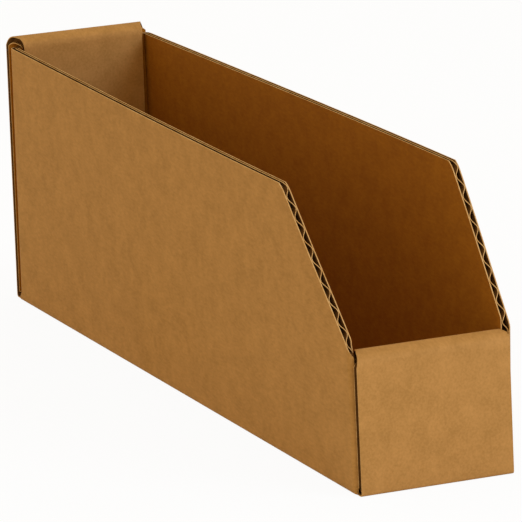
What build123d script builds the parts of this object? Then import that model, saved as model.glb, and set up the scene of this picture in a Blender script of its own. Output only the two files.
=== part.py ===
from build123d import *
from math import atan, cos, degrees, pi, sin
import os

# Open-top bin box: one die-cut sheet of single-wall corrugated board, folded into a narrow shelf bin.
#
# The low open front faces +X, the high back faces -X, and +Z is up. The origin is the centre of the
# footprint, at the underside of the bottom panel. All sizes are in millimetres.

# Overall size of the folded box
length = 328.0  # outside, from the back face to the front face
width = 60.5  # outside, across the two long bottom creases
side_height = 101.5  # top edge of the two side walls
front_height = 47.5  # height at which the sloped cut would reach the front face
slope_run = 50.5  # length of the sloped cut, measured along the box
slope_corner_radius = 3.0  # where the top edge turns into the sloped cut
wall_flare = 4.2  # how far each free side wall leans out at the top of its slope

# Corrugated board
board = 2.9  # thickness of the whole board
liner = 0.4  # flat paper on each face
medium = 0.28  # wavy paper between the liners
flute_pitch = 6.2  # from one crest of the wave to the next
glue_foot = 0.5  # half width of the line where a crest is glued to a liner
flute_depth = 24.0  # how far the open flutes are followed in from the sloped cut
near_crest_drop = 4.4  # first crest on the outer liner below the top edge, -Y wall
far_crest_drop = 1.6  # the same on the +Y wall

# Creases, and the clearances between folded plies
fold_radius = 2.2  # outside radius of a crease
inner_fold_radius = 0.5  # inside radius of a crease
ply_gap = 0.35  # air between two plies of an end
side_gap = 1.1  # between the inner end panels and the side walls
seat_gap = 0.4  # under the inner end panels and the corner flaps

# Rolled-over ends: how far the outer and the inner crease of each roll stand above the side walls
back_outer_rise = 4.7
back_inner_rise = 2.9
front_outer_rise = 2.1
front_inner_rise = 3.7
roll_radius = 2.9  # outside radius of both creases of a roll
back_shoulder = 4.0  # rounded upper corners of the outer back panel
front_shoulder = 2.0  # the same on the outer front panel

# Corner flaps, held between the two plies of an end
flap_reach = 26.0  # from the outside of the side wall to the flap's free edge
flap_taper = 3.0  # drop of the flap's top edge towards its free edge
flap_top_gap = 0.6  # between the flap and the roll above it

# Locking tabs of the inner end panels, and their slots in the bottom panel
tab_width = 28.0
tab_corner = 1.2
tab_end_height = 0.3  # tab end above the underside of the bottom
slot_gap = 0.4

# Cut side edges of the rolls and inner end panels, open between the liners
edge_groove_depth = 2.2

# Places that follow from the sizes above
half_length = length / 2
half_width = width / 2
crease_zone = board + 2 * inner_fold_radius
flap_face = board + ply_gap
inner_panel_face = 2 * flap_face
end_depth = inner_panel_face + board
panel_seat = board + seat_gap
wall_inset = flap_face + crease_zone
back_station = wall_inset - half_length
front_station = half_length - wall_inset
slope_top = half_length - slope_run
slope_fall = (side_height - front_height) / slope_run
wall_length = side_height - crease_zone
top_lean = atan(wall_flare / wall_length)
inner_inset = board + side_gap
behind_slope = [back_station + (slope_top - back_station) * step / 3 for step in range(4)]
along_slope = [slope_top + (front_station - slope_top) * step / 2 for step in range(3)]
groove_stations = [back_station + (slope_top - back_station) * step / 6 for step in range(7)]
groove_stations.append(slope_top + flute_pitch)
flap_shoulder = board + side_gap / 2
half_span = flute_pitch / 2 - glue_foot
mouth_margin = flute_pitch / 2 / slope_fall
back_outer_crease = side_height + back_outer_rise
back_inner_crease = side_height + back_inner_rise
front_outer_crease = front_height + front_outer_rise
front_inner_crease = front_height + front_inner_rise
rolls = (
    (-1, back_outer_crease, back_inner_crease),
    (1, front_outer_crease, front_inner_crease),
)
reach = 20.0  # how far a cutting shape goes past what it cuts


def slope_height(x):
    """Height of the sloped cut at x, or of the top edge behind it."""
    return side_height - slope_fall * max(0.0, x - slope_top)


def wall_lean(x):
    """Angle in radians by which a side wall leans out at x: none at its two held ends."""
    if x <= slope_top:
        along = (max(x, back_station) - back_station) / (slope_top - back_station)
        return top_lean * (1.5 * along - 0.5 * along**3)
    along = (min(x, front_station) - slope_top) / (front_station - slope_top)
    return top_lean * (1 - along**2)


def wall_plane(side, x):
    """Cross-section plane of a side wall: local X outwards, local Y up the leaning wall."""
    upright = Plane(origin=(x, side * half_width, crease_zone), x_dir=(0, side, 0), z_dir=(side, 0, 0))
    return upright.rotated((-side * degrees(wall_lean(x)), 0, 0))


def end_plane(facing):
    """Lengthwise plane of an end: local X inwards from the end face, local Y up."""
    return Plane(origin=(facing * half_length, 0, 0), x_dir=(-facing, 0, 0), z_dir=(0, facing, 0))


def corner_plane(facing, side, height):
    """Level plane at a corner: local X inwards from the end face, local Y inwards from the side."""
    corner = (facing * half_length, side * half_width, height)
    return Plane(origin=corner, x_dir=(-facing, 0, 0), z_dir=(0, 0, facing * side))


def side_plane(facing, side):
    """Upright plane on an end face: local X inwards from the side face, local Y up."""
    corner = (facing * half_length, side * half_width, 0)
    return Plane(origin=corner, x_dir=(0, -side, 0), z_dir=(-side, 0, 0))


def outline(*corners):
    """Closed line through corners given as x, y and rounding radius."""
    points = [(x, y) for x, y, radius in corners]
    with BuildLine() as closed_line:
        FilletPolyline(*points, radius=[radius for x, y, radius in corners], close=True)
    return closed_line.line


def wall_outline(x):
    """Cross-section of a side wall at x, with a level foot on the crease and spare height to trim."""
    lean = wall_lean(x)
    top = wall_length + reach
    with BuildLine() as closed_line:
        Polyline((0, 0), (0, top), (-board, top), (-board * cos(lean), -board * sin(lean)), close=True)
    return closed_line.line


def roll_underside(outer_crease, inner_crease, inset):
    """Height of the lower face of a roll at a distance inwards from the end face."""
    return outer_crease + (inner_crease - outer_crease) * inset / end_depth - board


def wave_depth(height):
    """Clear depth of a flute at a height along the wave, where 0 is a crest glued to the liner."""
    swing = board - 2 * liner - medium
    return swing * (1 - cos(2 * pi * height / flute_pitch)) / 2


def flute_outline(centre, on_outer_liner):
    """One flute in cross-section: flat on a liner and rounded by the wavy medium."""
    base = -liner if on_outer_liner else liner - board
    inwards = -1 if on_outer_liner else 1
    steps = [half_span * step / 2 for step in (-2, -1, 0, 1, 2)]
    crown = [(base + inwards * wave_depth(flute_pitch / 2 - abs(step)), centre + step) for step in steps]
    with BuildLine() as closed_line:
        Spline(*crown)
        Polyline(crown[-1], (base, centre + half_span), (base, centre - half_span), crown[0])
    return closed_line.line


def rolled_end(facing, outer_crease, inner_crease, shoulder):
    """Outer panel, roll-over and inner panel of one end, with the end of the bottom panel."""
    outer_underside = roll_underside(outer_crease, inner_crease, board)
    inner_underside = roll_underside(outer_crease, inner_crease, inner_panel_face)
    with BuildPart() as end:
        with BuildSketch(end_plane(facing)):
            make_face(outline(
                (0, 0, fold_radius), (0, outer_crease, roll_radius),
                (end_depth, inner_crease, roll_radius), (end_depth, panel_seat, 0),
                (inner_panel_face, panel_seat, 0), (inner_panel_face, inner_underside, inner_fold_radius),
                (board, outer_underside, inner_fold_radius), (board, board, inner_fold_radius),
                (wall_inset, board, 0), (wall_inset, 0, 0),
            ))
        extrude(amount=half_width, both=True)

        for side in (-1, 1):
            # The roll and the inner panel are narrower, to drop in between the side walls
            with BuildSketch(corner_plane(facing, side, crease_zone)):
                with Locations((board, 0)):
                    Rectangle(reach, inner_inset, align=Align.MIN)
            extrude(amount=side_height + reach, dir=(0, 0, 1), mode=Mode.SUBTRACT)

            # Rounded upper corners of the outer panel
            with BuildSketch(side_plane(facing, side)):
                with Locations((0, outer_crease)):
                    Rectangle(shoulder, shoulder, align=(Align.MIN, Align.MAX))
                with Locations((shoulder, outer_crease - shoulder)):
                    Circle(shoulder, mode=Mode.SUBTRACT)
            extrude(amount=board, dir=(-facing, 0, 0), mode=Mode.SUBTRACT)

            # Cut edges, hollow between the two liners
            with BuildSketch(end_plane(facing).offset(facing * side * half_width)):
                make_face(outline(
                    (liner, crease_zone, 0), (liner, outer_crease - liner, roll_radius - liner),
                    (end_depth - liner, inner_crease - liner, roll_radius - liner),
                    (end_depth - liner, 0, 0), (inner_panel_face + liner, 0, 0),
                    (inner_panel_face + liner, inner_underside + liner, 0),
                    (board - liner, outer_underside + liner, 0), (board - liner, crease_zone, 0),
                ))
            extrude(amount=inner_inset + edge_groove_depth, dir=(0, -side, 0), mode=Mode.SUBTRACT)
    return end.part


back_end = rolled_end(-1, back_outer_crease, back_inner_crease, back_shoulder)
front_end = rolled_end(1, front_outer_crease, front_inner_crease, front_shoulder)

with BuildPart() as bin_box:
    # Bottom panel between the ends, with the long creases and the foot of each side wall
    with BuildSketch(Plane.YZ.offset(back_station)):
        make_face(outline(
            (-half_width, crease_zone, 0), (-half_width, 0, fold_radius),
            (half_width, 0, fold_radius), (half_width, crease_zone, 0),
            (half_width - board, crease_zone, 0), (half_width - board, board, inner_fold_radius),
            (board - half_width, board, inner_fold_radius), (board - half_width, crease_zone, 0),
        ))
    extrude(amount=front_station - back_station)

    # Side walls, bowed outwards between their held ends
    for side in (-1, 1):
        for stations in (behind_slope, along_slope):
            for x in stations:
                with BuildSketch(wall_plane(side, x)):
                    make_face(wall_outline(x))
            loft()

    # Corner flaps, turned in at both ends of each side wall
    for facing in (-1, 1):
        for side in (-1, 1):
            with BuildSketch(corner_plane(facing, side, crease_zone + seat_gap)):
                make_face(outline(
                    (flap_face, 0, fold_radius), (wall_inset, 0, 0), (wall_inset, board, 0),
                    (flap_face + board, board, inner_fold_radius), (flap_face + board, flap_reach, 0),
                    (flap_face, flap_reach, 0),
                ))
            extrude(amount=wall_length + reach, dir=(0, 0, 1))

    # Side view of the sheet: level top edge, rounded corner and sloped cut
    with BuildSketch(Plane.XZ):
        make_face(outline(
            (-length, side_height, 0), (slope_top, side_height, slope_corner_radius),
            (length, slope_height(length), 0), (length, side_height + 2 * reach, 0),
            (-length, side_height + 2 * reach, 0),
        ))
    extrude(amount=width, both=True, mode=Mode.SUBTRACT)

    # Top edges of the corner flaps, which stay below the rolls
    for facing, outer_crease, inner_crease in rolls:
        flap_top = min(
            roll_underside(outer_crease, inner_crease, flap_face),
            roll_underside(outer_crease, inner_crease, flap_face + board),
        ) - flap_top_gap
        for side in (-1, 1):
            with BuildSketch(side_plane(facing, side)):
                make_face(outline(
                    (flap_shoulder, flap_top, 0), (flap_reach + board, flap_top - flap_taper, 0),
                    (flap_reach + board, side_height + reach, 0), (flap_shoulder, side_height + reach, 0),
                ))
            extrude(amount=wall_inset, dir=(-facing, 0, 0), mode=Mode.SUBTRACT)

    # Open flutes: grooves along the top edges, and hollows running in from the sloped cuts
    for side, crest_drop in ((-1, near_crest_drop), (1, far_crest_drop)):
        centre = wall_length - crest_drop + flute_pitch
        on_outer_liner = False
        while centre + crease_zone > slope_height(front_station):
            if centre - half_span > wall_length:
                stations = []
            elif centre + half_span > wall_length:
                stations = groove_stations
            else:
                mouth = slope_top + (wall_length - centre) / slope_fall
                stations = [mouth - flute_depth, mouth - flute_depth / 2, mouth + mouth_margin]
            for x in stations:
                with BuildSketch(wall_plane(side, x)):
                    make_face(flute_outline(centre, on_outer_liner))
            if stations:
                loft(ruled=True, mode=Mode.SUBTRACT)
            centre -= flute_pitch / 2
            on_outer_liner = not on_outer_liner

    # Rolled-over ends, closed around the corner flaps
    add(back_end)
    add(front_end)

    # Slots in the bottom panel, with the locking tab of the inner panel standing in each
    for facing in (-1, 1):
        with BuildSketch(Plane.XY):
            with Locations((facing * (half_length - inner_panel_face - board / 2), 0)):
                Rectangle(board + 2 * slot_gap, tab_width + 2 * slot_gap)
        extrude(amount=board, mode=Mode.SUBTRACT)
        tab_face = (facing * (half_length - inner_panel_face), 0, 0)
        with BuildSketch(Plane(origin=tab_face, x_dir=(0, facing, 0), z_dir=(facing, 0, 0))):
            make_face(outline(
                (-tab_width / 2, panel_seat, 0), (-tab_width / 2, tab_end_height, tab_corner),
                (tab_width / 2, tab_end_height, tab_corner), (tab_width / 2, panel_seat, 0),
            ))
        extrude(amount=board, dir=(-facing, 0, 0))
bin_box.part.label = "bin_box"

os.makedirs("parts", exist_ok=True)
export_step(bin_box.part, "parts/bin_box.step")
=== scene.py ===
"""Looks of the open-top bin box: kraft liners, cut board edges and open flutes, on a white studio stage."""

from math import cos, pi, radians, sin

import bpy
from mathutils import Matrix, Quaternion, Vector


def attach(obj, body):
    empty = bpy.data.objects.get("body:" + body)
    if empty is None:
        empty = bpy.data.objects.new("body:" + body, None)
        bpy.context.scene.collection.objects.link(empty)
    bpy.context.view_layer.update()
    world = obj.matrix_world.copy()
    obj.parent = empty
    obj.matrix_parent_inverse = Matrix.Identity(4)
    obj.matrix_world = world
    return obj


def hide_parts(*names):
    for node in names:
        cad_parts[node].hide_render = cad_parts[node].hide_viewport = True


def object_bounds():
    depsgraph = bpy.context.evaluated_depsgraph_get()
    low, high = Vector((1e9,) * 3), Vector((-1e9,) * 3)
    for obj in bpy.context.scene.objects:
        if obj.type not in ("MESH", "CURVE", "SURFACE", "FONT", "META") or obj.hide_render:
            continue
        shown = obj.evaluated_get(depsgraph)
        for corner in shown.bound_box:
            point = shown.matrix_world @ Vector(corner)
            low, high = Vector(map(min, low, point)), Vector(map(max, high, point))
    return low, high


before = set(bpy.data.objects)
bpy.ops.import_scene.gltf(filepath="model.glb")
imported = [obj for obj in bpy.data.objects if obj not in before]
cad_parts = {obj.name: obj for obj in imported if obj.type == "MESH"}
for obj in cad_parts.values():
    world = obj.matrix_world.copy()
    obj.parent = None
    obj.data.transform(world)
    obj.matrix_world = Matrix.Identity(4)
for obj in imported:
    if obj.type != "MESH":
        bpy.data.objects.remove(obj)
cad_low, cad_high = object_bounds()

bl_info = {
    "name": "Open-top bin box",
    "version": (1, 0, 0),
    "blender": (4, 5, 0),
    "location": "3D View > Sidebar > Bin box",
    "description": "Dresses a folded corrugated bin box in kraft board and sets its studio stage",
    "category": "Object",
}

MM = 0.001
SIDEBAR = "Bin box"

# Material slots of the folded board: the inner and flute slots hold colours darkened as painted shade
OUTER, INNER, EDGE, FLUTE = range(4)
# Vertices that are nearer than this are one
SAME_PLACE = 0.001 * MM
# Faces that meet at a smaller angle are shaded as one curved surface
SMOOTH_ANGLE = radians(35)


def linear(hex_colour):
    """sRGB hex, such as "B2844D", as linear red, green, blue and alpha."""
    channels = [int(hex_colour[place:place + 2], 16) / 255 for place in (0, 2, 4)]
    return [c / 12.92 if c <= 0.04045 else ((c + 0.055) / 1.055) ** 2.4 for c in channels] + [1.0]


def add_node(tree, kind, inputs=None, **settings):
    """Adds a shader node with its settings, and fills its inputs with values or with other sockets."""
    node = tree.nodes.new(kind)
    for name, value in settings.items():
        setattr(node, name, value)
    for name, value in (inputs or {}).items():
        if isinstance(value, bpy.types.NodeSocket):
            tree.links.new(value, node.inputs[name])
        else:
            node.inputs[name].default_value = value
    return node


def length_property(name, description, default, minimum=0.0):
    return bpy.props.FloatProperty(
        name=name, description=description, default=default, min=minimum,
        subtype="DISTANCE", unit="LENGTH", precision=5,
    )


def colour_property(name, description, hex_colour):
    return bpy.props.FloatVectorProperty(
        name=name, description=description, default=linear(hex_colour),
        size=4, min=0.0, max=1.0, subtype="COLOR",
    )


class BoardSettings(bpy.types.PropertyGroup):
    """Sizes of the folded sheet, and the sizes and colours of its papers."""

    thickness: length_property("Board", "Thickness of the whole board", 2.9 * MM)
    liner: length_property("Liner", "Thickness of the flat paper on each face", 0.4 * MM)
    medium: length_property("Medium", "Thickness of the wavy paper between the liners", 0.28 * MM)
    flute_pitch: length_property("Flute pitch", "From one crest of the wavy medium to the next", 6.2 * MM)
    near_crest: length_property("Near crest", "First outer crest below the top edge, -Y wall", 4.4 * MM)
    far_crest: length_property("Far crest", "First outer crest below the top edge, +Y wall", 1.6 * MM)
    width: length_property("Width", "Across the two long creases", 60.6 * MM)
    side_height: length_property("Side height", "Level top edge of the side walls", 101.5 * MM)
    front_height: length_property("Front height", "Where the sloped cut would reach the front", 47.5 * MM)
    slope_run: length_property("Slope run", "Length of the sloped cut along the box", 50.5 * MM)
    slope_corner: length_property("Slope corner", "How far the corner above the slope is rounded", 1.3 * MM)
    back_flare: length_property("Back flare", "Lean of a wall's top edge at the back", -1.0 * MM, -10.0 * MM)
    wall_flare: length_property("Wall flare", "The same at the top of the slope", 3.85 * MM)
    front_flare: length_property("Front flare", "The same at the front, if the wall were as high", 1.3 * MM)
    crease_reach: length_property("Crease reach", "From a long crease to where the sheet lies flat", 3.4 * MM)
    crease_bend: length_property("Crease bend", "How far a long crease rounds the corner", 1.4 * MM)
    front_fold: length_property("Front fold", "How far a front flap's fold rounds the corner", 1.8 * MM)
    back_fold: length_property("Back fold", "The same at the back", 3.2 * MM)
    back_gap: length_property("Back gap", "How far a back fold stands off its end, at the foot", 2.6 * MM)
    fold_drop: length_property("Fold drop", "How far the sloped cut falls across a front fold", 3.8 * MM)
    tight_reach: length_property("Tight reach", "How far the inner face rounds any fold", 0.5 * MM)
    ply_gap: length_property("Ply gap", "Air between two plies of an end", 0.35 * MM)
    flap_reach: length_property("Flap reach", "From the side wall to a corner flap's free edge", 26.0 * MM)
    flap_top: length_property("Flap top", "Top of the front corner flaps, under the roll", 45.9 * MM)
    back_crease: length_property("Back crease", "Outer crease of the back roll", 106.0 * MM)
    back_inner: length_property("Back inner crease", "Inner crease of the back roll", 104.9 * MM)
    lip_crease: length_property("Lip crease", "Outer crease of the front roll", 49.8 * MM)
    lip_inner: length_property("Lip inner crease", "Inner crease of the front roll", 51.3 * MM)
    roll_reach: length_property("Roll reach", "How far a roll's outer crease rounds the corner", 4.0 * MM)
    inner_roll_reach: length_property("Inner roll reach", "The same at the inner crease", 3.6 * MM)
    panel_inset: length_property("Panel inset", "From the side wall's face to the outer panels", 1.2 * MM)
    lip_start: length_property("Lip start", "The same where the front roll turns inwards", 1.65 * MM)
    lip_end: length_property("Lip end", "The same where the front roll turns down", 2.4 * MM)
    lip_side: length_property("Lip side", "The same at the inner front panel", 3.5 * MM)
    lip_lean: length_property("Lip lean", "How far the front panel leans to -Y and its roll to +Y", 0.55 * MM)
    back_start: length_property("Back start", "The inset where the back roll turns inwards", 3.7 * MM)
    back_end: length_property("Back end", "The same where the back roll turns down", 4.7 * MM)
    back_side: length_property("Back side", "The same at the inner back panel", 5.4 * MM)
    panel_seat: length_property("Panel seat", "Lower edge of the inner panels", 3.3 * MM)
    tab_width: length_property("Tab width", "Locking tab of an inner panel", 28.0 * MM)
    tab_end: length_property("Tab end", "Tab's end above the underside", 0.3 * MM)
    slot_gap: length_property("Slot gap", "Between a tab and its slot", 0.4 * MM)
    edge_hollow: length_property("Edge hollow", "Depth of the medium behind a panel's cut edge", 2.2 * MM)
    outer_kraft: colour_property("Outer kraft", "Face of the outer liner", "BC8A4C")
    outer_fleck: colour_property("Outer fleck", "Darker fibres in the outer liner", "A87A3E")
    # The inner liner's colours are painted shade: the outer kraft darkened and saturated as the box's inside
    # falls in shadow
    inner_kraft_painted_shade: colour_property("Inner kraft", "Face of the inner liner", "A86A10")
    inner_fleck_painted_shade: colour_property("Inner fleck", "Darker fibres in the inner liner", "965A08")
    cut_paper: colour_property("Cut paper", "Torn fibres on the cut edges of liners and medium", "D8B078")
    # The flute colours are medium paper darkened further with painted shade of the hollows between the liners
    flute_painted_shade: colour_property("Flute shade", "Unprinted medium inside the flutes", "7A5226")
    flute_fleck_painted_shade: colour_property("Flute fleck", "Darker fibres in the medium", "5E3C18")
    mottle_size: length_property("Mottle", "Width of the cloudy patches in the paper", 7.0 * MM)
    fibre_size: length_property("Fibre", "Width of a fibre bundle, as coarse as it needs to show", 0.9 * MM)


class StageSettings(bpy.types.PropertyGroup):
    """Camera, lamps and floor."""

    aim: bpy.props.FloatVectorProperty(
        name="Aim", description="Point that the camera looks at", subtype="XYZ", unit="LENGTH",
        default=(3.34 * MM, 4.95 * MM, 45.45 * MM),
    )
    heading: bpy.props.FloatProperty(
        name="Heading", description="Direction in which the camera looks, from +X", subtype="ANGLE",
        default=radians(156.787),
    )
    downward: bpy.props.FloatProperty(
        name="Downward", description="Angle by which the camera looks down", subtype="ANGLE",
        default=radians(13.792),
    )
    roll: bpy.props.FloatProperty(
        name="Roll", description="Tilt of the camera about its own axis", subtype="ANGLE",
        default=radians(-1.952),
    )
    distance: length_property("Distance", "From the camera to the aim", 2.0249)
    lens: bpy.props.FloatProperty(
        name="Lens", description="Focal length on a 36 mm sensor", subtype="DISTANCE_CAMERA", default=376.87,
    )
    key_place: bpy.props.FloatVectorProperty(
        name="Key place", description="Where the front right lamp hangs", subtype="XYZ", unit="LENGTH",
        default=(1.1, 0.75, 0.85),
    )
    key_size: length_property("Key size", "Width of the front right lamp", 0.8)
    key_power: bpy.props.FloatProperty(
        name="Key", description="Power of the front right lamp", unit="POWER", default=10.3,
    )
    key_colour: colour_property("Key colour", "Colour of the front right lamp", "C8DCFF")
    sky: bpy.props.FloatProperty(name="Sky", description="Strength of the even light all round", default=0.8)
    sky_colour: colour_property("Sky colour", "Colour of the even light all round", "FFEDC4")
    floor_width: length_property("Floor", "Width of the floor", 12.0)
    floor_gap: length_property("Floor gap", "Air under the box: no two faces share a plane", 0.05 * MM)
    floor_shade: bpy.props.FloatProperty(
        name="Floor shade", description="Share of the floor's own shading that the camera sees",
        default=0.06, min=0.0, max=1.0, subtype="FACTOR",
    )


def paper_grain(tree, settings):
    """Cloudy formation of the paper and its fibre bundles, as two sockets from 0 to 1."""
    place = add_node(tree, "ShaderNodeTexCoord").outputs["Object"]
    cloud = add_node(tree, "ShaderNodeTexNoise", {
        "Vector": place, "Scale": 1 / settings.mottle_size, "Detail": 3.0, "Roughness": 0.6,
    })
    # Fibres lie along the machine direction, X
    drawn = add_node(tree, "ShaderNodeMapping", {"Vector": place, "Scale": (0.35, 1.0, 1.0)})
    fibre = add_node(tree, "ShaderNodeTexNoise", {
        "Vector": drawn.outputs["Vector"], "Scale": 1 / settings.fibre_size, "Detail": 2.0, "Roughness": 0.55,
    })
    return cloud.outputs["Fac"], fibre.outputs["Fac"]


def paper(name, settings, light, dark, roughness, grain_depth):
    """Paper with fibre flecks: its colour runs between two shades, and its surface is finely felted."""
    material = bpy.data.materials.new(name)
    material.use_nodes = True
    tree = material.node_tree
    shader = tree.nodes["Principled BSDF"]
    cloud, fibre = paper_grain(tree, settings)
    both = add_node(tree, "ShaderNodeMath", {0: cloud, 1: fibre}, operation="ADD")
    depth = add_node(tree, "ShaderNodeMapRange", {
        "Value": both.outputs["Value"], "From Min": 0.7, "From Max": 1.3,
    })
    blend = add_node(tree, "ShaderNodeMix", {
        "Factor": depth.outputs["Result"], "A": light, "B": dark,
    }, data_type="RGBA")
    for socket in blend.outputs:
        if socket.type == "RGBA":
            tree.links.new(socket, shader.inputs["Base Color"])
    felt = add_node(tree, "ShaderNodeBump", {
        "Height": fibre, "Strength": 0.6, "Distance": grain_depth,
    })
    tree.links.new(felt.outputs["Normal"], shader.inputs["Normal"])
    shader.inputs["Roughness"].default_value = roughness
    shader.inputs["IOR"].default_value = 1.45
    shader.inputs["Specular IOR Level"].default_value = 0.3
    return material


def bend(start, corner, end, share):
    """Point at a share of a paper's soft bend from start to end, round a corner."""
    start, corner, end = Vector(start), Vector(corner), Vector(end)
    return start.lerp(corner, share).lerp(corner.lerp(end, share), share)


def fold_size(settings, outer_reach, depth):
    """How far a fold reaches from its corner at a depth in the board."""
    return outer_reach + (settings.tight_reach - outer_reach) * depth / settings.thickness


def wall_shift(settings, x, height):
    """How far a side wall stands out at x, at a height above its crease."""
    half_length = cad_high.x
    slope_top = half_length - settings.slope_run
    if x <= slope_top:
        along = (x + half_length) / (slope_top + half_length)
        flare = settings.back_flare
        flare += (settings.wall_flare - settings.back_flare) * (1.5 * along - 0.5 * along ** 3)
    else:
        along = (x - slope_top) / settings.slope_run
        flare = settings.wall_flare + (settings.front_flare - settings.wall_flare) * along ** 2
    return flare * max(0.0, height) / (settings.side_height - settings.crease_reach)


def slope_cut(settings, height):
    """Where the sloped cut crosses a height, with the corner above it rounded."""
    drop = settings.side_height - height
    fall = (settings.side_height - settings.front_height) / settings.slope_run
    rounding = max(0.0, 1.0 - drop / (2 * settings.slope_corner))
    return cad_high.x - settings.slope_run + drop / fall - settings.slope_corner * rounding ** 2


class WallRun:
    """The papers of the bottom, the two side walls and their corner flaps, laid along one girth."""

    # Edges of a tab's slot, as shares of the half length
    SLOT = (0.9614, 0.9801)
    # Columns from fold to fold, closer together along the sloped cut
    STRAIGHT = (
        -1.0, -SLOT[1], -SLOT[0], -0.9, -0.75, -0.6, -0.45, -0.3, -0.15, 0.0, 0.15, 0.3, 0.45, 0.6,
        0.7, 0.76, 0.82, 0.88, 0.93, SLOT[0], SLOT[1], 1.0,
    )
    FOLD_STEPS = 5
    ROWS_PER_FLUTE = 8
    # Girth that a long crease takes up, for each millimetre of its reach
    TURN_PER_REACH = 1.6
    # Share of the back gap that has closed at the level top edge
    GAP_CLOSES = 0.7
    # Share of a back flap in which it comes back to its place between the plies
    FLAP_SETTLES = 0.15

    def __init__(self, settings):
        self.settings = settings
        self.end = cad_high.x - settings.thickness - settings.ply_gap
        self.flat = settings.width / 2 - settings.crease_reach
        self.turn = self.TURN_PER_REACH * settings.crease_reach
        self.girth = self.flat + self.turn + settings.side_height - settings.crease_reach
        between_crests = 2 * self.girth - settings.near_crest - settings.far_crest
        self.pitch = between_crests / round(between_crests / settings.flute_pitch)
        steps = round(2 * self.girth / self.pitch * self.ROWS_PER_FLUTE)
        self.rows = [self.girth * (1 - 2 * step / steps) for step in range(steps + 1)]
        folds = [1 + (step + 1) / self.FOLD_STEPS for step in range(self.FOLD_STEPS)]
        folds += [2 + self.FLAP_SETTLES, 3.0]
        self.columns = [-q for q in reversed(folds)] + list(self.STRAIGHT) + folds

    def section(self, along, depth):
        """Side, distance from the middle and height of a point of the girth, before the walls lean."""
        half, reach = self.settings.width / 2, self.settings.crease_reach
        side, along = (-1 if along < 0 else 1), abs(along)
        if along < self.flat:
            return side, along, depth
        if along < self.flat + self.turn:
            soft = fold_size(self.settings, self.settings.crease_bend, depth)
            level = reach - depth - soft
            gone = (along - self.flat) / self.turn * 2 * (level + soft)
            if gone < level:
                return side, self.flat + gone, depth
            if gone > level + 2 * soft:
                return side, half - depth, gone - level - 2 * soft + depth + soft
            out, share = half - depth, (gone - level) / (2 * soft)
            y, z = bend((out - soft, depth), (out, depth), (out, depth + soft), share)
            return side, y, z
        return side, half - depth, reach + along - self.flat - self.turn

    def place(self, along, q, depth):
        """Point of the folded sheet: q runs from -1 to 1 between the folds, and on into the flaps."""
        settings = self.settings
        side, y, z = self.section(along, depth)
        facing = -1 if q < 0 else 1
        raised = max(0.0, min(1.0, (abs(along) - self.flat) / self.turn))
        reach = raised * fold_size(settings, settings.front_fold if q > 0 else settings.back_fold, depth)
        gap = 0.0
        if q < 0:
            gap = raised * settings.back_gap * (1 - self.GAP_CLOSES * z / settings.side_height)
        corner = self.end - raised * depth - gap
        straight = corner - reach
        height = z - settings.crease_reach
        q = min(q, self.fold_cut(z))
        if abs(q) <= 1:
            x = min(q * straight, slope_cut(settings, z))
        elif abs(q) <= 2:
            x, y = bend((straight, y), (corner, y), (corner, y - reach), abs(q) - 1)
            x *= facing
        else:
            settled = min(1.0, (abs(q) - 2) / self.FLAP_SETTLES)
            x = facing * (corner + gap * settled)
            y -= reach + (y - reach - settings.width / 2 + settings.flap_reach) * (abs(q) - 2)
        return Vector((x, side * (y + wall_shift(settings, x, height)), z))

    def fold_cut(self, height):
        """How far round a front fold the sheet reaches at a height: the cut dives under the roll."""
        settings = self.settings
        if height < settings.flap_top:
            return 3.0
        fall = (settings.side_height - settings.front_height) / settings.slope_run
        fold_start = settings.front_height + fall * (cad_high.x - self.end + settings.front_fold)
        return 1.0 + max(0.0, min(1.0, (fold_start - height) / settings.fold_drop))

    def wave(self, along):
        """Depth of the medium's middle, with its crests glued to the two liners."""
        settings = self.settings
        swing = settings.thickness / 2 - settings.liner - settings.medium / 2
        turns = (along + self.girth - settings.near_crest) / self.pitch
        return settings.thickness / 2 - swing * cos(2 * pi * turns)

    def is_board(self, along, q):
        """False over the slots, beyond the bottom's ends, and where the corner flaps have been cut free."""
        settings = self.settings
        height = self.section(along, 0.0)[2]
        if abs(q) > 2 and height < 2 * settings.crease_reach:
            return False
        if abs(q) > 1:
            return height > settings.tight_reach / 2 and q < self.fold_cut(height)
        slot = settings.tab_width / 2 + settings.slot_gap
        return not (abs(along) < slot and self.SLOT[0] < abs(q) < self.SLOT[1])


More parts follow.
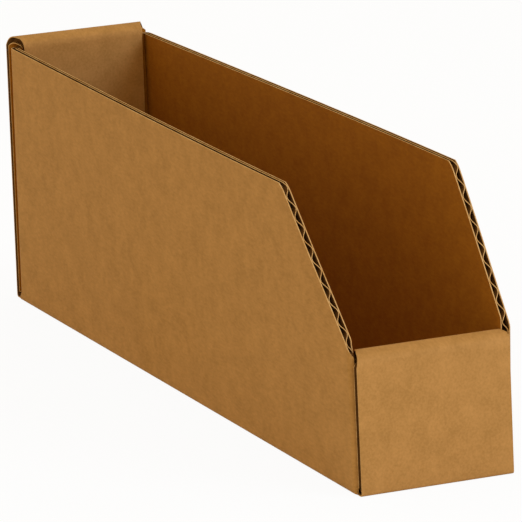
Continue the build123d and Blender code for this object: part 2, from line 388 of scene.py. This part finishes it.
class RolledEnd:
    """The papers of one double end: outer panel, roll and inner panel with its locking tab."""

    FOLD_STEPS = 8
    # Most of a stretch that one bend may take up
    LONGEST_BEND = 0.9

    def __init__(self, settings, facing):
        self.settings = settings
        self.facing = facing
        if facing > 0:
            self.creases = settings.lip_crease, settings.lip_inner
            self.insets = settings.lip_start, settings.lip_end, settings.lip_side
            self.lean = settings.lip_lean
        else:
            self.creases = settings.back_crease, settings.back_inner
            self.insets = settings.back_start, settings.back_end, settings.back_side
            self.lean = 0.0

    def profile(self, depth, hollow):
        """Points of the end as inset from its face, height, half width and lean, at a depth in the board."""
        settings = self.settings
        half, board = settings.width / 2 - hollow, settings.thickness
        outer, inner = self.creases
        thick_end = 3 * board + 2 * settings.ply_gap
        edge, (roll_start, roll_end, inner_side) = settings.panel_inset, self.insets
        first = Vector((board + settings.ply_gap, depth))
        last = Vector((thick_end - depth, settings.panel_seat))
        creases = (
            (Vector((depth, depth)), settings.crease_bend, edge, edge, 0.0, 0.0),
            (Vector((depth, outer - depth)), settings.roll_reach, edge, roll_start, -self.lean, self.lean),
            (
                Vector((thick_end - depth, inner - depth)), settings.inner_roll_reach,
                roll_end, inner_side, self.lean, self.lean / 2,
            ),
        )
        line = [first] + [crease[0] for crease in creases] + [last]
        points = [(*first, half - edge, 0.0)]
        for number, (corner, outer_reach, inset, next_inset, lean, next_lean) in enumerate(creases):
            back, ahead = line[number] - corner, line[number + 2] - corner
            reach = min(max(outer_reach - depth, settings.tight_reach), self.LONGEST_BEND * back.length)
            start, end = corner + back.normalized() * reach, corner + ahead.normalized() * reach
            for step in range(self.FOLD_STEPS + 1):
                share = step / self.FOLD_STEPS
                across, up = bend(start, corner, end, share)
                width = half - inset - (next_inset - inset) * share
                points.append((across, up, width, lean + (next_lean - lean) * share))
        tab = settings.tab_width / 2
        points.append((*last, half - inner_side, 0.0))
        points.append((*last, tab, 0.0))
        points.append((last.x, settings.tab_end, tab, 0.0))
        return points

    def place(self, point, q):
        """Point of the folded end: q is 1 at one side edge and -1 at the other."""
        across, up, half, lean = point
        return Vector((self.facing * (cad_high.x - across), q * half + lean, up))


def lay_paper(name, rows, columns, place, thickness, slots, is_board=None):
    """Grid laid along the folds by place(row, column), then thickened to a paper.

    slots are the material slots of its outer face, inner face and rim, and is_board(row, column)
    is false where the die has cut the paper away.
    """
    slot, inner_slot, rim_slot = slots
    bpy.ops.object.select_all(action="DESELECT")
    last_row, last_column = len(rows) - 1, len(columns) - 1
    bpy.ops.mesh.primitive_grid_add(x_subdivisions=last_column, y_subdivisions=last_row, size=1.0)
    paper_sheet = bpy.context.object
    paper_sheet.name = name
    mesh = paper_sheet.data
    cut_away = [False] * len(mesh.polygons)
    for face in mesh.polygons:
        face.material_index = slot
        if is_board:
            column, row = int((face.center.x + 0.5) * last_column), int((face.center.y + 0.5) * last_row)
            along, q = (rows[row] + rows[row + 1]) / 2, (columns[column] + columns[column + 1]) / 2
            cut_away[face.index] = not is_board(along, q)
    for point in mesh.vertices:
        column, row = round((point.co.x + 0.5) * last_column), round((point.co.y + 0.5) * last_row)
        point.co = place(rows[row], columns[column])
    bpy.ops.object.mode_set(mode="EDIT")
    bpy.ops.mesh.select_mode(type="FACE")
    bpy.ops.mesh.select_all(action="DESELECT")
    bpy.ops.object.mode_set(mode="OBJECT")
    mesh.polygons.foreach_set("select", cut_away)
    bpy.ops.object.mode_set(mode="EDIT")
    bpy.ops.mesh.delete(type="FACE")
    bpy.ops.mesh.select_all(action="SELECT")
    bpy.ops.mesh.remove_doubles(threshold=SAME_PLACE)
    bpy.ops.mesh.dissolve_degenerate(threshold=SAME_PLACE)
    bpy.ops.object.mode_set(mode="OBJECT")
    wall = paper_sheet.modifiers.new("paper", "SOLIDIFY")
    wall.thickness = thickness
    wall.offset = 0.0
    wall.use_even_offset = True
    wall.material_offset = inner_slot - slot
    wall.material_offset_rim = rim_slot - slot
    return paper_sheet


class BINBOX_OT_fold_board(bpy.types.Operator):
    """Fold the sheet from its three papers: outer liner, wavy medium and inner liner"""

    bl_idname = "binbox.fold_board"
    bl_label = "Fold the board"

    def execute(self, context):
        settings = context.scene.binbox_board
        # Machine-finished kraft linerboard: matt, brown, with cloudy patches and dark fibres
        outer = paper(
            "kraft_outer_liner", settings, settings.outer_kraft, settings.outer_fleck, 0.75, 0.03 * MM,
        )
        # Inner liner: the same kraft as outside, darker and more saturated as painted shade of the box's
        # inside, and a little duller
        inner = paper(
            "kraft_inner_liner_painted_shade", settings, settings.inner_kraft_painted_shade, settings.inner_fleck_painted_shade, 0.85, 0.03 * MM,
        )
        # Die-cut edge: crushed pale fibres, fully matt
        edge = paper("die_cut_edge", settings, settings.cut_paper, settings.outer_kraft, 0.95, 0.08 * MM)
        # Fluting medium seen down the flutes: recycled paper, darkened further with painted shade of the
        # hollows
        flute = paper(
            "fluting_medium_painted_shade", settings, settings.flute_painted_shade, settings.flute_fleck_painted_shade, 0.95, 0.05 * MM,
        )
        sheets = self.lay_walls(settings) + self.lay_ends(settings)
        bpy.ops.object.select_all(action="DESELECT")
        for sheet in sheets:
            for material in (outer, inner, edge, flute):
                sheet.data.materials.append(material)
            context.view_layer.objects.active = sheet
            bpy.ops.object.modifier_apply(modifier="paper")
            sheet.select_set(True)
        board = sheets[0]
        context.view_layer.objects.active = board
        bpy.ops.object.join()
        board.name = "folded_board"
        board.data.name = "folded_board"
        bpy.ops.object.shade_smooth_by_angle(angle=SMOOTH_ANGLE)
        bpy.ops.object.modifier_add(type="WEIGHTED_NORMAL")
        board.modifiers[-1].keep_sharp = True
        bpy.ops.object.modifier_apply(modifier=board.modifiers[-1].name)
        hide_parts("bin_box")
        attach(board, "root")
        return {"FINISHED"}

    def lay_walls(self, settings):
        """The bottom, the side walls and the corner flaps, whose cut edges show the wave."""
        run = WallRun(settings)
        outer, inner = settings.liner / 2, settings.thickness - settings.liner / 2
        # Sides of the papers that face the flutes take the flute colour, as painted shade of the hollows
        papers = (
            ("outer_liner", lambda along: outer, settings.liner, (OUTER, FLUTE, EDGE)),
            ("inner_liner", lambda along: inner, settings.liner, (FLUTE, INNER, EDGE)),
            ("medium", run.wave, settings.medium, (FLUTE, FLUTE, EDGE)),
        )
        return [
            lay_paper(
                name, run.rows, run.columns, lambda along, q: run.place(along, q, depth(along)),
                thickness, slots, run.is_board,
            )
            for name, depth, thickness, slots in papers
        ]

    def lay_ends(self, settings):
        """The two double ends, whose flutes run upwards, so that their side edges show a hollow."""
        board, liner = settings.thickness, settings.liner
        papers = (
            ("outer_liner", liner / 2, liner, 0.0, (OUTER, FLUTE, EDGE)),
            ("inner_liner", board - liner / 2, liner, 0.0, (FLUTE, INNER, EDGE)),
            # An end's medium is a flat slab set back by the edge hollow, all in the flute colour: a dark
            # strip of painted shade where the hollow shows at the cut edge
            ("medium", board / 2, board - 2 * liner, settings.edge_hollow, (FLUTE, FLUTE, FLUTE)),
        )
        return [
            lay_paper(
                name, end.profile(depth, hollow), (-end.facing, end.facing), end.place, thickness, slots,
            )
            for end in (RolledEnd(settings, -1), RolledEnd(settings, 1))
            for name, depth, thickness, hollow, slots in papers
        ]


class BINBOX_OT_set_stage(bpy.types.Operator):
    """Lay the white floor, hang the lamp, light the sky and stand the camera"""

    bl_idname = "binbox.set_stage"
    bl_label = "Set the stage"

    def execute(self, context):
        settings = context.scene.binbox_stage
        context.scene.view_settings.view_transform = "Standard"
        bpy.ops.object.select_all(action="DESELECT")
        self.lay_floor(settings)
        self.light_sky(context, settings)
        self.hang_key(settings)
        self.stand_camera(context, settings)
        return {"FINISHED"}

    def lay_floor(self, settings):
        """White to the camera, but for a share of its own shading, and clear from below."""
        bpy.ops.mesh.primitive_plane_add(size=settings.floor_width, location=(0, 0, -settings.floor_gap))
        floor = bpy.context.object
        floor.name = "floor"
        material = bpy.data.materials.new("white_studio_floor")
        material.use_nodes = True
        tree = material.node_tree
        output = tree.nodes["Material Output"]
        tree.nodes.remove(tree.nodes["Principled BSDF"])
        sheet = add_node(tree, "ShaderNodeBsdfDiffuse", {"Color": (0.9, 0.9, 0.9, 1.0)})
        white = add_node(tree, "ShaderNodeEmission", {"Color": (1.0, 1.0, 1.0, 1.0), "Strength": 1.0})
        path = add_node(tree, "ShaderNodeLightPath")
        seen = add_node(tree, "ShaderNodeMath", {
            0: path.outputs["Is Camera Ray"], 1: path.outputs["Is Glossy Ray"],
        }, operation="MAXIMUM")
        seen = add_node(tree, "ShaderNodeMath", {
            0: seen.outputs["Value"], 1: path.outputs["Is Transmission Ray"],
        }, operation="MAXIMUM")
        share = add_node(tree, "ShaderNodeMath", {
            0: seen.outputs["Value"], 1: 1.0 - settings.floor_shade,
        }, operation="MULTIPLY")
        above = add_node(tree, "ShaderNodeMixShader", {
            0: share.outputs["Value"], 1: sheet.outputs["BSDF"], 2: white.outputs["Emission"],
        })
        underside = add_node(tree, "ShaderNodeNewGeometry")
        clear = add_node(tree, "ShaderNodeBsdfTransparent")
        blend = add_node(tree, "ShaderNodeMixShader", {
            0: underside.outputs["Backfacing"], 1: above.outputs["Shader"], 2: clear.outputs["BSDF"],
        })
        tree.links.new(blend.outputs["Shader"], output.inputs["Surface"])
        floor.data.materials.append(material)

    def light_sky(self, context, settings):
        """Even light all round, and plain white where the camera looks past the floor."""
        world = bpy.data.worlds.new("studio_sky")
        context.scene.world = world
        world.use_nodes = True
        tree = world.node_tree
        light = tree.nodes["Background"]
        light.inputs["Color"].default_value = settings.sky_colour
        light.inputs["Strength"].default_value = settings.sky
        white = add_node(tree, "ShaderNodeBackground", {"Color": (1.0, 1.0, 1.0, 1.0), "Strength": 1.0})
        path = add_node(tree, "ShaderNodeLightPath")
        blend = add_node(tree, "ShaderNodeMixShader", {
            0: path.outputs["Is Camera Ray"], 1: light.outputs["Background"], 2: white.outputs["Background"],
        })
        tree.links.new(blend.outputs["Shader"], tree.nodes["World Output"].inputs["Surface"])

    def hang_key(self, settings):
        """Large soft lamp that lights the front panel and the lip."""
        place = Vector(settings.key_place)
        bpy.ops.object.light_add(type="AREA", location=place)
        lamp = bpy.context.object
        lamp.name = "key_lamp"
        lamp.data.shape = "DISK"
        lamp.data.size = settings.key_size
        lamp.data.energy = settings.key_power
        lamp.data.color = settings.key_colour[:3]
        lamp.rotation_mode = "QUATERNION"
        lamp.rotation_quaternion = (Vector(settings.aim) - place).to_track_quat("-Z", "Y")

    def stand_camera(self, context, settings):
        """Camera at the photograph's viewing angle."""
        bpy.ops.object.camera_add()
        camera = bpy.context.object
        camera.name = "photo_camera"
        forward = Vector((
            cos(settings.downward) * cos(settings.heading),
            cos(settings.downward) * sin(settings.heading),
            -sin(settings.downward),
        ))
        camera.location = Vector(settings.aim) - forward * settings.distance
        camera.rotation_mode = "QUATERNION"
        camera.rotation_quaternion = forward.to_track_quat("-Z", "Y") @ Quaternion((0, 0, 1), settings.roll)
        camera.data.sensor_width = 36.0
        camera.data.lens = settings.lens
        camera.data.clip_start = 0.05
        camera.data.clip_end = 30.0
        context.scene.camera = camera


class BINBOX_PT_sidebar(bpy.types.Panel):
    """Sizes, colours and steps of the bin box"""

    bl_idname = "BINBOX_PT_sidebar"
    bl_label = "Bin box"
    bl_space_type = "VIEW_3D"
    bl_region_type = "UI"
    bl_category = SIDEBAR

    def draw(self, context):
        for group, step in (
            (context.scene.binbox_board, BINBOX_OT_fold_board),
            (context.scene.binbox_stage, BINBOX_OT_set_stage),
        ):
            column = self.layout.column(align=True)
            for name in group.__annotations__:
                column.prop(group, name)
            column.operator(step.bl_idname)


classes = (BoardSettings, StageSettings, BINBOX_OT_fold_board, BINBOX_OT_set_stage, BINBOX_PT_sidebar)


def register():
    for one in classes:
        bpy.utils.register_class(one)
    bpy.types.Scene.binbox_board = bpy.props.PointerProperty(type=BoardSettings)
    bpy.types.Scene.binbox_stage = bpy.props.PointerProperty(type=StageSettings)


def unregister():
    del bpy.types.Scene.binbox_stage
    del bpy.types.Scene.binbox_board
    for one in reversed(classes):
        bpy.utils.unregister_class(one)


def main():
    register()
    bpy.ops.binbox.fold_board()
    bpy.ops.binbox.set_stage()


if __name__ == "__main__":
    main()
